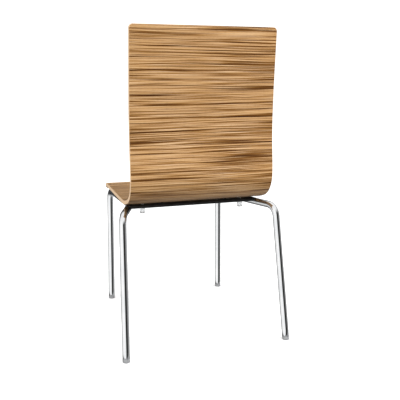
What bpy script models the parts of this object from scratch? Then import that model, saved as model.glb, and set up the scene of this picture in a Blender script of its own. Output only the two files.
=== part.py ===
"""Stacking chair: a one-piece bent plywood seat and back on two bent tube side frames.

Metres, +Z up, the floor at Z = 0. The chair faces -Y, and +X is the sitter's left side seen
from behind. The origin lies on the floor, under the middle of the chair's bounding box.
"""

from math import acos, cos, hypot, pi, radians, sin, sqrt, tan

import bmesh
import bpy
from mathutils import Matrix, Vector

# Gap left between two pieces that touch on the real chair.
TOUCH = 0.0003

# Seat and back shell.
SHELL_WIDTH = 0.440
SHELL_THICKNESS = 0.012
OVERALL_HEIGHT = 0.957
SEAT_UNDERSIDE = 0.426
SEAT_FLAT_LENGTH = 0.3156
FRONT_ROLL_RADIUS = 0.040
FRONT_ROLL_ANGLE = radians(52)
BEND_REAR_RADIUS = 0.085
BEND_REAR_ANGLE = radians(70)
BEND_FRONT_RADIUS = 0.300
LUMBAR_ABOVE_BEND = 0.118
LUMBAR_FORWARD = 0.006
BACK_TOP_REARWARD = 0.018
BACK_TOP_SLOPE = 0.10
TOP_CORNER_RADIUS = 0.012
FRONT_CORNER_RADIUS = 0.020

# Side frames: round steel tube.
TUBE_RADIUS = 0.011
TUBE_WALL = 0.0015
REAR_FOOT_OUTSIDE_SHELL = 0.032
FRONT_FOOT_INSIDE_SHELL = 0.010
WHEELBASE = 0.528
REAR_LEG_INWARD = 0.0249
REAR_LEG_FORWARD = 0.1694
FRONT_LEG_INWARD = 0.0064
FRONT_LEG_REARWARD = 0.0186
LEG_BEND_RADIUS = 0.038
RAIL_TOE_IN = radians(18.6)
RAIL_KINK_RADIUS = 0.120
RAIL_KINK_INSIDE_SHELL = 0.030
BACK_TO_REAR_FEET = 0.0455

# Cross rails: folded steel channels, open side down, between the two side frames.
CHANNEL_WIDTH = 0.036
CHANNEL_HEIGHT = 0.009
CHANNEL_WALL = 0.0015
REAR_CHANNEL_FROM_BACK = 0.1275
FRONT_CHANNEL_FROM_LEG = 0.0700
CHANNEL_BELOW_SHELL = 0.0025

# Fasteners between channel and shell.
SCREW_INSIDE_KINK = 0.085
SCREW_RADIUS = 0.0030
SCREW_HEAD_RADIUS = 0.0060
SCREW_HEAD_HEIGHT = 0.0036
SCREW_RECESS_RADIUS = 0.0020
SCREW_RECESS_DEPTH = 0.0020
SCREW_TIP_MARGIN = 0.0010
WASHER_RADIUS = 0.0080
WASHER_THICKNESS = 0.0012
SPACER_RADIUS = 0.0100
INSERT_WALL = 0.0018
INSERT_COVER = 0.0035
HOLE_CLEARANCE = 0.0004

# Stacking bumpers, pushed into the channels from below.
BUMPER_INSIDE_KINK = 0.029
BUMPER_RADIUS = 0.0090
BUMPER_BELOW_CHANNEL = 0.0185
BUMPER_STEM_RADIUS = 0.0040
BUMPER_BARB_RADIUS = 0.0052
BUMPER_BARB_HEIGHT = 0.0012

# Foot caps: plastic plugs in the tubes' ends, with a head of the tube's own diameter.
CAP_HEAD_HEIGHT = 0.0095
CAP_PLUG_LENGTH = 0.0180
CAP_PLUG_WALL = 0.0020

ROUND_STEPS = 24
TUBE_BEVEL_RESOLUTION = 6

COLORS = {
    "veneered_plywood": ((0.52, 0.31, 0.16, 1.0), 0.40, 0.0),
    "chrome_tube": ((0.82, 0.83, 0.85, 1.0), 0.08, 1.0),
    "black_steel": ((0.015, 0.015, 0.016, 1.0), 0.45, 0.2),
    "zinc_steel": ((0.62, 0.63, 0.65, 1.0), 0.32, 1.0),
    "black_rubber": ((0.02, 0.02, 0.02, 1.0), 0.80, 0.0),
    "clear_plastic": ((0.86, 0.87, 0.87, 1.0), 0.15, 0.0),
    "grey_plastic": ((0.55, 0.56, 0.57, 1.0), 0.45, 0.0),
}


def clear_scene():
    for obj in list(bpy.data.objects):
        bpy.data.objects.remove(obj, do_unlink=True)


def new_collection(name):
    collection = bpy.data.collections.new(name)
    bpy.context.scene.collection.children.link(collection)
    return collection


def material(name):
    color, roughness, metallic = COLORS[name]
    made = bpy.data.materials.get(name) or bpy.data.materials.new(name)
    made.use_nodes = True
    shader = made.node_tree.nodes["Principled BSDF"]
    shader.inputs["Base Color"].default_value = color
    shader.inputs["Roughness"].default_value = roughness
    shader.inputs["Metallic"].default_value = metallic
    return made


def add_object(name, data, finish):
    obj = bpy.data.objects.new(name, data)
    obj.data.materials.append(material(finish))
    parts.objects.link(obj)
    return obj


def add_cutter(name, mesh):
    obj = bpy.data.objects.new(name, mesh)
    cutters.objects.link(obj)
    obj.hide_render = True
    obj.display_type = "WIRE"
    return obj


def subtract(obj, cutter):
    cut = obj.modifiers.new("cut_" + cutter.name, "BOOLEAN")
    cut.operation = "DIFFERENCE"
    cut.object = cutter


def cylinder_mesh(name, radius, bottom, top, steps=ROUND_STEPS):
    """An upright cylinder on the Z axis, from bottom to top."""
    bm = bmesh.new()
    middle = Matrix.Translation((0, 0, (bottom + top) / 2))
    bmesh.ops.create_cone(
        bm, cap_ends=True, segments=steps, radius1=radius, radius2=radius, depth=top - bottom, matrix=middle
    )
    mesh = bpy.data.meshes.new(name)
    bm.to_mesh(mesh)
    bm.free()
    return mesh


def face_towards(bm, direction):
    """Turns an open surface over if, on the whole, it faces away from this direction."""
    bm.normal_update()
    facing = sum((face.normal * face.calc_area() for face in bm.faces), Vector())
    if facing.dot(direction) < 0:
        bmesh.ops.reverse_faces(bm, faces=bm.faces)


def extrude_across(bm, section):
    """Runs a chain of points on one side of the chair straight across to their mirror images."""
    edges = [bm.edges.new(pair) for pair in zip(section, section[1:])]
    grown = bmesh.ops.extrude_edge_only(bm, edges=edges)["geom"]
    for vert in grown:
        if isinstance(vert, bmesh.types.BMVert):
            vert.co.x = -vert.co.x


def turned_mesh(name, profile):
    """A mesh holding a turned piece's profile, as (radius, height) points joined by edges."""
    mesh = bpy.data.meshes.new(name)
    points = [(radius, 0, height) for radius, height in profile]
    edges = [(index, index + 1) for index in range(len(points) - 1)]
    mesh.from_pydata(points, edges, [])
    return mesh


def add_turn(obj, steps=ROUND_STEPS):
    turn = obj.modifiers.new("turn", "SCREW")
    turn.axis = "Z"
    turn.angle = 2 * pi
    turn.screw_offset = 0
    turn.steps = steps
    turn.render_steps = steps
    turn.use_merge_vertices = True
    turn.merge_threshold = 0.00001
    turn.use_smooth_shade = True


def ring_profile(inner, outer, bottom, top):
    """The closed section of a plain ring: down its outer side, in, and up its bore."""
    return [(inner, top), (outer, top), (outer, bottom), (inner, bottom), (inner, top)]


# --- Shell ---------------------------------------------------------------------------------


def seat_run(flat_rear_y):
    """The lower face of the seat in side view, front edge first, as (y, z) points."""
    flat_front = flat_rear_y - SEAT_FLAT_LENGTH
    roll_centre = (flat_front, SEAT_UNDERSIDE - FRONT_ROLL_RADIUS)
    roll_steps = 7
    run = []
    for step in range(roll_steps + 1):
        turn = FRONT_ROLL_ANGLE * (1 - step / roll_steps)
        y = roll_centre[0] - FRONT_ROLL_RADIUS * sin(turn)
        z = roll_centre[1] + FRONT_ROLL_RADIUS * cos(turn)
        run.append((y, z))
    flat_steps = 4
    for step in range(1, flat_steps):
        run.append((flat_front + SEAT_FLAT_LENGTH * step / flat_steps, SEAT_UNDERSIDE))
    return run


def bend_run(flat_rear_y):
    """The outer face of the bend from the level seat to the upright back: two arcs in line."""
    run = []
    open_angle = pi / 2 - BEND_REAR_ANGLE
    front_steps, rear_steps = 6, 12
    for step in range(front_steps + 1):
        turn = open_angle * step / front_steps
        y = flat_rear_y + BEND_FRONT_RADIUS * sin(turn)
        run.append((y, SEAT_UNDERSIDE + BEND_FRONT_RADIUS * (1 - cos(turn))))
    start_y, start_z = run[-1]
    centre_y = start_y - BEND_REAR_RADIUS * sin(open_angle)
    centre_z = start_z + BEND_REAR_RADIUS * cos(open_angle)
    for step in range(1, rear_steps + 1):
        turn = open_angle + BEND_REAR_ANGLE * step / rear_steps
        run.append((centre_y + BEND_REAR_RADIUS * sin(turn), centre_z - BEND_REAR_RADIUS * cos(turn)))
    return run


def hermite(start, end, start_slope, end_slope, share):
    """A cubic from start to end whose slopes are per unit of share, at this share of the way."""
    square, cube = share**2, share**3
    return (
        (2 * cube - 3 * square + 1) * start
        + (cube - 2 * square + share) * start_slope
        + (3 * square - 2 * cube) * end
        + (cube - square) * end_slope
    )


def back_run(back_y, bend_top):
    """The rear face of the back above the bend: forward to the lumbar point, then leaning back."""
    lumbar_z = bend_top + LUMBAR_ABOVE_BEND
    # The back leans, so the front arris of its top edge stands a little above the rear one.
    arris_step = SHELL_THICKNESS * BACK_TOP_SLOPE / hypot(1, BACK_TOP_SLOPE)
    rise = OVERALL_HEIGHT - arris_step - lumbar_z
    lumbar_steps, upper_steps = 8, 12
    run = []
    for step in range(1, lumbar_steps + 1):
        share = step / lumbar_steps
        y = hermite(back_y, back_y - LUMBAR_FORWARD, 0, 0, share)
        run.append((y, bend_top + LUMBAR_ABOVE_BEND * share))
    top_y = back_y + BACK_TOP_REARWARD
    for step in range(1, upper_steps + 1):
        share = step / upper_steps
        y = hermite(back_y - LUMBAR_FORWARD, top_y, 0, BACK_TOP_SLOPE * rise, share)
        run.append((y, lumbar_z + rise * share))
    return run


def bend_size():
    """How far the bend reaches rearward and upward from the end of the level seat."""
    run = bend_run(0.0)
    return run[-1][0], run[-1][1] - SEAT_UNDERSIDE


def with_corner_stations(run, radius, steps=6):
    """The run with extra points over its last stretch of this length, for a rounded corner."""
    lengths = [0.0]
    for (y0, z0), (y1, z1) in zip(run, run[1:]):
        lengths.append(lengths[-1] + hypot(y1 - y0, z1 - z0))
    total = lengths[-1]
    wanted = [length for length in lengths if length < total - radius - 0.002]
    wanted += [total - radius * (1 - sin(pi / 2 * step / steps)) for step in range(steps + 1)]
    out = []
    for length in wanted:
        index = max(i for i, known in enumerate(lengths[:-1]) if known <= length + 1e-12)
        share = (length - lengths[index]) / (lengths[index + 1] - lengths[index])
        (y0, z0), (y1, z1) = run[index], run[index + 1]
        out.append((y0 + (y1 - y0) * share, z0 + (z1 - z0) * share))
    return out


def corner_inset(distance, radius):
    """How much narrower each side is at this distance from an end with rounded corners."""
    if distance >= radius:
        return 0.0
    return radius - sqrt(max(radius**2 - (radius - distance) ** 2, 0.0))


def shell_mesh(flat_rear_y, back_y, bend_top):
    run = seat_run(flat_rear_y) + bend_run(flat_rear_y) + back_run(back_y, bend_top)
    run = with_corner_stations(run, TOP_CORNER_RADIUS)
    run = with_corner_stations(run[::-1], FRONT_CORNER_RADIUS)[::-1]
    lengths = [0.0]
    for (y0, z0), (y1, z1) in zip(run, run[1:]):
        lengths.append(lengths[-1] + hypot(y1 - y0, z1 - z0))
    bm = bmesh.new()
    chain = []
    for (y, z), length in zip(run, lengths):
        inset = corner_inset(length, FRONT_CORNER_RADIUS)
        inset += corner_inset(lengths[-1] - length, TOP_CORNER_RADIUS)
        chain.append(bm.verts.new((-SHELL_WIDTH / 2 + inset, y, z)))
    extrude_across(bm, chain)
    face_towards(bm, Vector((0, -1, 1)))
    mesh = bpy.data.meshes.new("seat_shell")
    bm.to_mesh(mesh)
    bm.free()
    return mesh


def add_shell(flat_rear_y, back_y, bend_top, hole_spots):
    shell = add_object("seat_shell", shell_mesh(flat_rear_y, back_y, bend_top), "veneered_plywood")
    wall = shell.modifiers.new("ply", "SOLIDIFY")
    wall.thickness = SHELL_THICKNESS
    wall.offset = 1.0
    wall.use_even_offset = True
    for name, x, y, underside in hole_spots:
        pocket_radius = SCREW_RADIUS + HOLE_CLEARANCE + INSERT_WALL + TOUCH
        pocket = cylinder_mesh(
            "pocket_" + name, pocket_radius, underside - 0.005, underside + insert_length + 2 * TOUCH
        )
        cutter = add_cutter("pocket_" + name, pocket)
        cutter.location = (x, y, 0)
        subtract(shell, cutter)
    return shell


# --- Side frames ---------------------------------------------------------------------------


def rounded_path(corners, radii, steps):
    """Points along straight runs whose inner corners are rounded with these radii."""
    points = [corners[0]]
    for before, corner, after, radius, count in zip(corners, corners[1:], corners[2:], radii, steps):
        into = (corner - before).normalized()
        out = (after - corner).normalized()
        turn = acos(max(-1.0, min(1.0, into.dot(out))))
        reach = radius * tan(turn / 2)
        start = corner - into * reach
        side = (out - into * out.dot(into)).normalized()
        for step in range(count + 1):
            angle = turn * step / count
            points.append(start + into * radius * sin(angle) + side * radius * (1 - cos(angle)))
    points.append(corners[-1])
    return points


def frame_corners(side, rear_foot_y, rail_z):
    """The corners of one side frame's centre line from floor to floor, rear first; side is +1 or -1."""
    front_foot_y = rear_foot_y - WHEELBASE

    def rear_leg(z):
        x = side * (rear_foot_x - REAR_LEG_INWARD * z)
        return Vector((x, rear_foot_y - REAR_LEG_FORWARD * z, z))

    def front_leg(z):
        x = side * (front_foot_x - FRONT_LEG_INWARD * z)
        return Vector((x, front_foot_y + FRONT_LEG_REARWARD * z, z))

    rear_top = rear_leg(rail_z)
    toe_run = (abs(rear_top.x) - kink_x) / tan(RAIL_TOE_IN)
    kink = Vector((side * kink_x, rear_top.y - toe_run, rail_z))
    return [rear_leg(0.0), rear_top, kink, front_leg(rail_z), front_leg(0.0)]


def tube_curve(name, points, radius, capped):
    curve = bpy.data.curves.new(name, "CURVE")
    curve.dimensions = "3D"
    curve.bevel_depth = radius
    curve.bevel_resolution = TUBE_BEVEL_RESOLUTION
    curve.use_fill_caps = capped
    spline = curve.splines.new("POLY")
    spline.points.add(len(points) - 1)
    for place, point in zip(spline.points, points):
        place.co = (*point, 1)
    return curve


def frame_path(side, rear_foot_y, rail_z):
    """One side frame's centre line, each end stopping just above its foot cap's head."""
    corners = frame_corners(side, rear_foot_y, rail_z)
    for end, next_corner in ((0, 1), (-1, -2)):
        up_leg = (corners[next_corner] - corners[end]).normalized()
        corners[end] += up_leg * (CAP_HEAD_HEIGHT + TOUCH)
    return rounded_path(corners, (LEG_BEND_RADIUS, RAIL_KINK_RADIUS, LEG_BEND_RADIUS), (9, 4, 9))


def add_side_frame(name, side, rear_foot_y, rail_z):
    points = frame_path(side, rear_foot_y, rail_z)
    frame = add_object(name, tube_curve(name, points, TUBE_RADIUS, capped=False), "chrome_tube")
    wall = frame.modifiers.new("tube_wall", "SOLIDIFY")
    wall.thickness = TUBE_WALL
    wall.offset = -1.0
    return frame


def solid_tube_mesh(name, points, radius):
    """A capped solid tube as a mesh, its caps welded on, for cutting."""
    guide = bpy.data.objects.new(name, tube_curve(name, points, radius, capped=True))
    cutters.objects.link(guide)
    graph = bpy.context.evaluated_depsgraph_get()
    mesh = bpy.data.meshes.new_from_object(guide.evaluated_get(graph))
    bm = bmesh.new()
    bm.from_mesh(mesh)
    bmesh.ops.remove_doubles(bm, verts=bm.verts, dist=0.00001)
    bmesh.ops.recalc_face_normals(bm, faces=bm.faces)
    bm.to_mesh(mesh)
    bm.free()
    bpy.data.objects.remove(guide, do_unlink=True)
    return mesh


# --- Cross rails ---------------------------------------------------------------------------


def channel_mesh(name, middle_y, half_length, top):
    """The channel's outer faces: rear flange, web, front flange, run from side to side."""
    rear, front = middle_y + CHANNEL_WIDTH / 2, middle_y - CHANNEL_WIDTH / 2
    bottom = top - CHANNEL_HEIGHT
    bm = bmesh.new()
    section = [(rear, bottom), (rear, top), (front, top), (front, bottom)]
    chain = [bm.verts.new((-half_length, y, z)) for y, z in section]
    extrude_across(bm, chain)
    face_towards(bm, Vector((0, 0, 1)))
    mesh = bpy.data.meshes.new(name)
    bm.to_mesh(mesh)
    bm.free()
    return mesh


def rail_x_at(y, corners):
    """The distance from the middle to the centre line of the side frame's top run, at this y."""
    rear_top, kink, front_top = corners[1:4]
    first, last = (rear_top, kink) if y > kink.y else (kink, front_top)
    share = (y - first.y) / (last.y - first.y)
    return abs(first.x + (last.x - first.x) * share)


def add_channel(name, middle_y, top, corners, tube_cutters):
    edges_y = (middle_y - CHANNEL_WIDTH / 2, middle_y + CHANNEL_WIDTH / 2)
    half_length = min(rail_x_at(y, corners) for y in edges_y)
    channel = add_object(name, channel_mesh(name, middle_y, half_length, top), "black_steel")
    wall = channel.modifiers.new("sheet", "SOLIDIFY")
    wall.thickness = CHANNEL_WALL
    wall.offset = -1.0
    wall.use_even_offset = True
    for cutter in tube_cutters:
        subtract(channel, cutter)
    holes = [(screw_x, SCREW_RADIUS + HOLE_CLEARANCE), (bumper_x, BUMPER_STEM_RADIUS + TOUCH)]
    for label, (x, radius) in zip(("screw", "bumper"), holes):
        for side in (1, -1):
            place = f"{name}_{label}_{side:+d}"
            cutter = add_cutter(place, cylinder_mesh(place, radius, top - 0.005, top + 0.005))
            cutter.location = (side * x, middle_y, 0)
            subtract(channel, cutter)
    return channel


# --- Fasteners, bumpers and feet -----------------------------------------------------------


def add_turned(name, profile, finish, place):
    obj = add_object(name, turned_mesh(name, profile), finish)
    obj.location = place
    add_turn(obj)
    return obj


def screw_profile(head_top, tip):
    """A pan head screw from tip to recess: domed head down, shank up."""
    edge = SCREW_HEAD_HEIGHT * 0.35
    head_bottom = head_top - SCREW_HEAD_HEIGHT
    dome = []
    steps = 4
    for step in range(steps + 1):
        share = step / steps
        radius = SCREW_HEAD_RADIUS - (SCREW_HEAD_RADIUS - SCREW_RECESS_RADIUS * 1.4) * share
        drop = (SCREW_HEAD_HEIGHT - edge) * sin(pi / 2 * share)
        dome.append((radius, head_top - edge - drop))
    return (
        [(0, tip), (SCREW_RADIUS * 0.8, tip), (SCREW_RADIUS, tip - 0.0008), (SCREW_RADIUS, head_top)]
        + [(SCREW_HEAD_RADIUS, head_top)]
        + dome
        + [
            (SCREW_RECESS_RADIUS, head_bottom),
            (SCREW_RECESS_RADIUS, head_bottom + SCREW_RECESS_DEPTH),
            (0, head_bottom + SCREW_RECESS_DEPTH),
        ]
    )


def add_fixing(name, x, y, web_top, underside):
    """One screwed fixing: insert in the shell, spacer, washer and screw, along one upright axis."""
    web_bottom = web_top - CHANNEL_WALL
    clear = SCREW_RADIUS + HOLE_CLEARANCE
    insert_bottom = underside + TOUCH
    insert_top = insert_bottom + insert_length
    head_top = web_bottom - WASHER_THICKNESS - 2 * TOUCH
    tip = insert_top - SCREW_TIP_MARGIN
    place = (x, y, 0)
    add_turned(
        "threaded_insert_" + name, ring_profile(clear, clear + INSERT_WALL, insert_bottom, insert_top),
        "zinc_steel", place,
    )
    add_turned(
        "rubber_spacer_" + name, ring_profile(clear, SPACER_RADIUS, web_top + TOUCH, underside - TOUCH),
        "black_rubber", place,
    )
    add_turned(
        "washer_" + name,
        ring_profile(clear, WASHER_RADIUS, web_bottom - TOUCH - WASHER_THICKNESS, web_bottom - TOUCH),
        "zinc_steel", place,
    )
    add_turned("screw_" + name, screw_profile(head_top, tip), "zinc_steel", place)


def add_bumper(name, x, y, web_top):
    """A push-in bumper: barbed stem through the web, round body hanging below the channel."""
    web_bottom = web_top - CHANNEL_WALL
    bottom = web_top - CHANNEL_HEIGHT - BUMPER_BELOW_CHANNEL
    barb_bottom = web_top + TOUCH
    barb_top = barb_bottom + BUMPER_BARB_HEIGHT
    round_radius = 0.003
    lower = []
    steps = 4
    for step in range(steps + 1):
        turn = pi / 2 * step / steps
        radius = BUMPER_RADIUS - round_radius * (1 - cos(turn))
        lower.append((radius, bottom + round_radius * (1 - sin(turn))))
    profile = [
        (0, barb_top),
        (BUMPER_STEM_RADIUS, barb_top),
        (BUMPER_BARB_RADIUS, barb_bottom),
        (BUMPER_STEM_RADIUS, barb_bottom),
        (BUMPER_STEM_RADIUS, web_bottom - TOUCH),
        (BUMPER_RADIUS, web_bottom - TOUCH),
    ]
    add_turned(name, profile + lower + [(0, bottom)], "clear_plastic", (x, y, 0))


def cap_profile():
    """A foot cap's section along its leg, from the sole's middle round to the hollow of its plug."""
    head = TUBE_RADIUS
    plug_outer = TUBE_RADIUS - TUBE_WALL - TOUCH
    plug_inner = plug_outer - CAP_PLUG_WALL
    plug_top = CAP_HEAD_HEIGHT + CAP_PLUG_LENGTH
    chamfer = 0.0015
    return [
        (0, 0),
        (head - chamfer, 0),
        (head, chamfer),
        (head, CAP_HEAD_HEIGHT),
        (plug_outer, CAP_HEAD_HEIGHT),
        (plug_outer, plug_top - chamfer),
        (plug_outer - chamfer / 2, plug_top),
        (plug_inner, plug_top),
        (plug_inner, CAP_HEAD_HEIGHT),
        (0, CAP_HEAD_HEIGHT),
    ]


def add_foot_cap(name, foot, up_leg):
    """A foot cap in line with its leg, whose sole is slid along the leg to lie flat on the floor."""
    bm = bmesh.new()
    chain = [bm.verts.new((radius, 0, height)) for radius, height in cap_profile()]
    edges = [bm.edges.new(pair) for pair in zip(chain, chain[1:])]
    bmesh.ops.spin(
        bm,
        geom=chain + edges,
        cent=(0, 0, 0),
        axis=(0, 0, 1),
        angle=2 * pi,
        steps=ROUND_STEPS,
        use_merge=True,
    )
    bmesh.ops.remove_doubles(bm, verts=bm.verts, dist=0.00001)
    bmesh.ops.recalc_face_normals(bm, faces=bm.faces)
    turn = up_leg.to_track_quat("Z", "Y")
    for vert in bm.verts:
        height = vert.co.z
        vert.co = turn @ vert.co
        if height < CAP_HEAD_HEIGHT / 2:
            vert.co -= up_leg * (vert.co.z - height) / up_leg.z
    mesh = bpy.data.meshes.new(name)
    bm.to_mesh(mesh)
    bm.free()
    cap = add_object(name, mesh, "grey_plastic")
    cap.location = foot


# --- Assembly ------------------------------------------------------------------------------

clear_scene()
parts = new_collection("stacking_chair")
cutters = new_collection("cutters")
cutters.hide_render = True

# The overall depth runs from the front roll of the seat to the back of the rear feet.
bend_reach, bend_rise = bend_size()
upper_roll_radius = FRONT_ROLL_RADIUS + SHELL_THICKNESS
front_reach = bend_reach + SEAT_FLAT_LENGTH + upper_roll_radius * sin(FRONT_ROLL_ANGLE)
overall_depth = front_reach + BACK_TO_REAR_FEET + TUBE_RADIUS
rear_foot_y = overall_depth / 2 - TUBE_RADIUS
back_y = rear_foot_y - BACK_TO_REAR_FEET
flat_rear_y = back_y - bend_reach
bend_top = SEAT_UNDERSIDE + bend_rise

# The shell's width sets the frame's, from the feet to the holes in the cross rails.
rear_foot_x = SHELL_WIDTH / 2 + REAR_FOOT_OUTSIDE_SHELL
front_foot_x = SHELL_WIDTH / 2 - FRONT_FOOT_INSIDE_SHELL
kink_x = SHELL_WIDTH / 2 - RAIL_KINK_INSIDE_SHELL
screw_x = kink_x - SCREW_INSIDE_KINK
bumper_x = kink_x - BUMPER_INSIDE_KINK
insert_length = SHELL_THICKNESS - INSERT_COVER

# The channels' tops are flush with the tubes' tops, and the spacers fill the gap to the shell.
channel_top = SEAT_UNDERSIDE - CHANNEL_BELOW_SHELL
rail_z = channel_top - TUBE_RADIUS


def shell_underside(y):
    """The height of the shell's lower face over the level seat and the front part of the bend."""
    past = max(y - flat_rear_y, 0.0)
    return SEAT_UNDERSIDE + BEND_FRONT_RADIUS - sqrt(BEND_FRONT_RADIUS**2 - past**2)


sides = (("left", 1), ("right", -1))
top_run = frame_corners(1, rear_foot_y, rail_z)
front_leg_top = top_run[-2]
channels = (
    ("rear", back_y - REAR_CHANNEL_FROM_BACK),
    ("front", front_leg_top.y + FRONT_CHANNEL_FROM_LEG),
)
hole_spots = []
for end, y in channels:
    lowest = shell_underside(y - SPACER_RADIUS)
    hole_spots += [(f"{end}_{label}", side * screw_x, y, lowest) for label, side in sides]

shell = add_shell(flat_rear_y, back_y, bend_top, hole_spots)

tube_cutters = []
for label, side in sides:
    add_side_frame("side_frame_" + label, side, rear_foot_y, rail_z)
    path = frame_path(side, rear_foot_y, rail_z)
    mesh = solid_tube_mesh("frame_space_" + label, path, TUBE_RADIUS + TOUCH)
    tube_cutters.append(add_cutter("frame_space_" + label, mesh))

for end, y in channels:
    add_channel(end + "_cross_rail", y, channel_top, top_run, tube_cutters)
for name, x, y, underside in hole_spots:
    add_fixing(name, x, y, channel_top, underside)
for end, y in channels:
    for label, side in sides:
        add_bumper(f"stacking_bumper_{end}_{label}", side * bumper_x, y, channel_top)

for label, side in sides:
    corners = frame_corners(side, rear_foot_y, rail_z)
    legs = (("rear", corners[0], corners[1]), ("front", corners[-1], corners[-2]))
    for end, foot, top in legs:
        add_foot_cap(f"foot_cap_{end}_{label}", foot, (top - foot).normalized())
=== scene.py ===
import bpy
import numpy as np
from mathutils import Matrix, Vector


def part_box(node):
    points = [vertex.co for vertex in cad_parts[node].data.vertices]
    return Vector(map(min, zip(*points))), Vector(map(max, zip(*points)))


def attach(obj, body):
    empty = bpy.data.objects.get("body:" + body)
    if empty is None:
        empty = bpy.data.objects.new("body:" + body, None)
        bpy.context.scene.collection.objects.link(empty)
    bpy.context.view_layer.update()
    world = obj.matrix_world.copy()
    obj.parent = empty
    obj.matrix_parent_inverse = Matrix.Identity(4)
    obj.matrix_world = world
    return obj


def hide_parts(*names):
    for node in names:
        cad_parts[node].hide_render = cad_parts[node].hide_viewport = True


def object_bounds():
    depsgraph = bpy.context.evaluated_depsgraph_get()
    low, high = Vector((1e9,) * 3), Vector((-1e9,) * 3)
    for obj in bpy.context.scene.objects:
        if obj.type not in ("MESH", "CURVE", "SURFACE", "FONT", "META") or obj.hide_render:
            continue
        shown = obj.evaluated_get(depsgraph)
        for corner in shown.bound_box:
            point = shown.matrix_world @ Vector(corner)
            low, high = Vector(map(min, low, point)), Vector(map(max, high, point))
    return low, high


# Stacking chair: a bent plywood shell, veneered on both faces, screwed to two bent and chromed
# steel tubes. Metres, +Z up, the floor at Z = 0, the chair facing -Y and its left side on +X.
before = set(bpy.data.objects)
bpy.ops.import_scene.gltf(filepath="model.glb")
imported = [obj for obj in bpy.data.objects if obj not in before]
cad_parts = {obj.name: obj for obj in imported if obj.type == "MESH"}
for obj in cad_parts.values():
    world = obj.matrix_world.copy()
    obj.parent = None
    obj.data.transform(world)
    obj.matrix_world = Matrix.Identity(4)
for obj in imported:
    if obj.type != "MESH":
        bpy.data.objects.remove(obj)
cad_low, cad_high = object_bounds()

# --- Side frames -------------
# Each side frame is one length of 22 mm steel tube with a 1.5 mm wall: rear leg, top run under
# the seat and front leg, bent cold on a 38 mm former. It is polished and then chromed.

TUBE_RADIUS = 0.011
TUBE_WALL = 0.0015
# Polishing takes this off the outside, which also keeps the finished chair inside the drawn one's box.
POLISHED_AWAY = 0.00008
TUBE_END_EASE = 0.0003
TUBE_SIDES = 48
LEG_BEND_RADIUS = 0.038
RAIL_KINK_RADIUS = 0.120
RAIL_TOE_IN = np.radians(18.6)
WHEELBASE = 0.528
# How far each leg leans (inward, forward) for each metre of height.
REAR_LEG_LEAN = (0.0249, 0.1694)
FRONT_LEG_LEAN = (0.0064, -0.0186)
REAR_FOOT_OUTSIDE_SHELL = 0.032
FRONT_FOOT_INSIDE_SHELL = 0.010
RAIL_KINK_INSIDE_SHELL = 0.030
CAP_HEAD_HEIGHT = 0.0095
# The gap left between two pieces that touch.
TOUCH = 0.0003

shell_half_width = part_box("seat_shell")[1].x
rail_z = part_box("rear_cross_rail")[1].z - TUBE_RADIUS
rear_foot_y = cad_high.y - TUBE_RADIUS
kink_x = shell_half_width - RAIL_KINK_INSIDE_SHELL


def leg_point(foot_x, foot_y, lean, height):
    """A leg's centre at this height: foot - lean * height, inward and forward."""
    return np.array([foot_x - lean[0] * height, foot_y - lean[1] * height, height])


def frame_corners():
    """The corners of the left frame's centre line from floor to floor, rear foot first."""
    rear = (shell_half_width + REAR_FOOT_OUTSIDE_SHELL, rear_foot_y, REAR_LEG_LEAN)
    front = (shell_half_width - FRONT_FOOT_INSIDE_SHELL, rear_foot_y - WHEELBASE, FRONT_LEG_LEAN)
    rear_top, front_top = leg_point(*rear, rail_z), leg_point(*front, rail_z)
    kink_y = rear_top[1] - (rear_top[0] - kink_x) / np.tan(RAIL_TOE_IN)
    kink = (kink_x, kink_y, rail_z)
    return np.array([leg_point(*rear, 0.0), rear_top, kink, front_top, leg_point(*front, 0.0)])


def unit(vectors):
    """Each vector divided by its length."""
    return vectors / np.linalg.norm(vectors, axis=-1, keepdims=True)


def rounded_line(corners, radii, turn_step=np.radians(3), run_step=0.02):
    """Straight runs between corners, joined by arcs: start + into*R*sin(a) + side*R*(1 - cos(a))."""
    stretches, last = [], corners[0]
    for before, corner, after, radius in zip(corners, corners[1:], corners[2:], radii):
        into, out = unit(corner - before), unit(after - corner)
        turn = np.arccos(into @ out)
        start = corner - into * radius * np.tan(turn / 2)
        side = unit(out - into * (out @ into))
        angle = np.linspace(0, turn, int(turn / turn_step) + 2)[:, None]
        arc = start + into * radius * np.sin(angle) + side * radius * (1 - np.cos(angle))
        stretches += [straight(last, start, run_step)[:-1], arc[:-1]]
        last = arc[-1]
    return np.concatenate([*stretches, straight(last, corners[-1], run_step)])


def straight(start, end, step):
    """Points from start to end, about this step apart."""
    count = int(np.linalg.norm(end - start) / step) + 2
    return start + (end - start) * np.linspace(0, 1, count)[:, None]


def carried(profile, line, towards):
    """A profile carried square to a line. At each station the point is line + a*side + b*up, where
    up is towards with its part along the line taken off, and side is the line's direction x up."""
    along = unit(np.gradient(line, axis=0))
    towards = np.broadcast_to(np.asarray(towards, float), line.shape)
    up = unit(towards - along * (along * towards).sum(1, keepdims=True))
    side = np.cross(along, up)
    profiles = np.broadcast_to(profile, (len(line), *np.shape(profile)[-2:]))
    across, height = np.moveaxis(profiles, 2, 0)
    return line[:, None] + side[:, None] * across[..., None] + up[:, None] * height[..., None]


def circle(radius, count):
    """A circle as (across, height) points, anticlockwise: R * (cos(a), sin(a))."""
    angle = np.arange(count) * 2 * np.pi / count
    return radius * np.stack([np.cos(angle), np.sin(angle)], 1)


def net(rows, columns, round_rows=False, round_columns=True):
    """Quads that join each point of a grid to the next in its row and column, and the last to the
    first where the grid goes round."""
    row = np.arange(rows - (not round_rows))[:, None]
    column = np.arange(columns - (not round_columns))[None]
    next_row, next_column = (row + 1) % rows, (column + 1) % columns
    corners = (
        row * columns + column, row * columns + next_column,
        next_row * columns + next_column, next_row * columns + column,
    )
    return np.stack(np.broadcast_arrays(*corners), -1).reshape(-1, 4)


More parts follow.
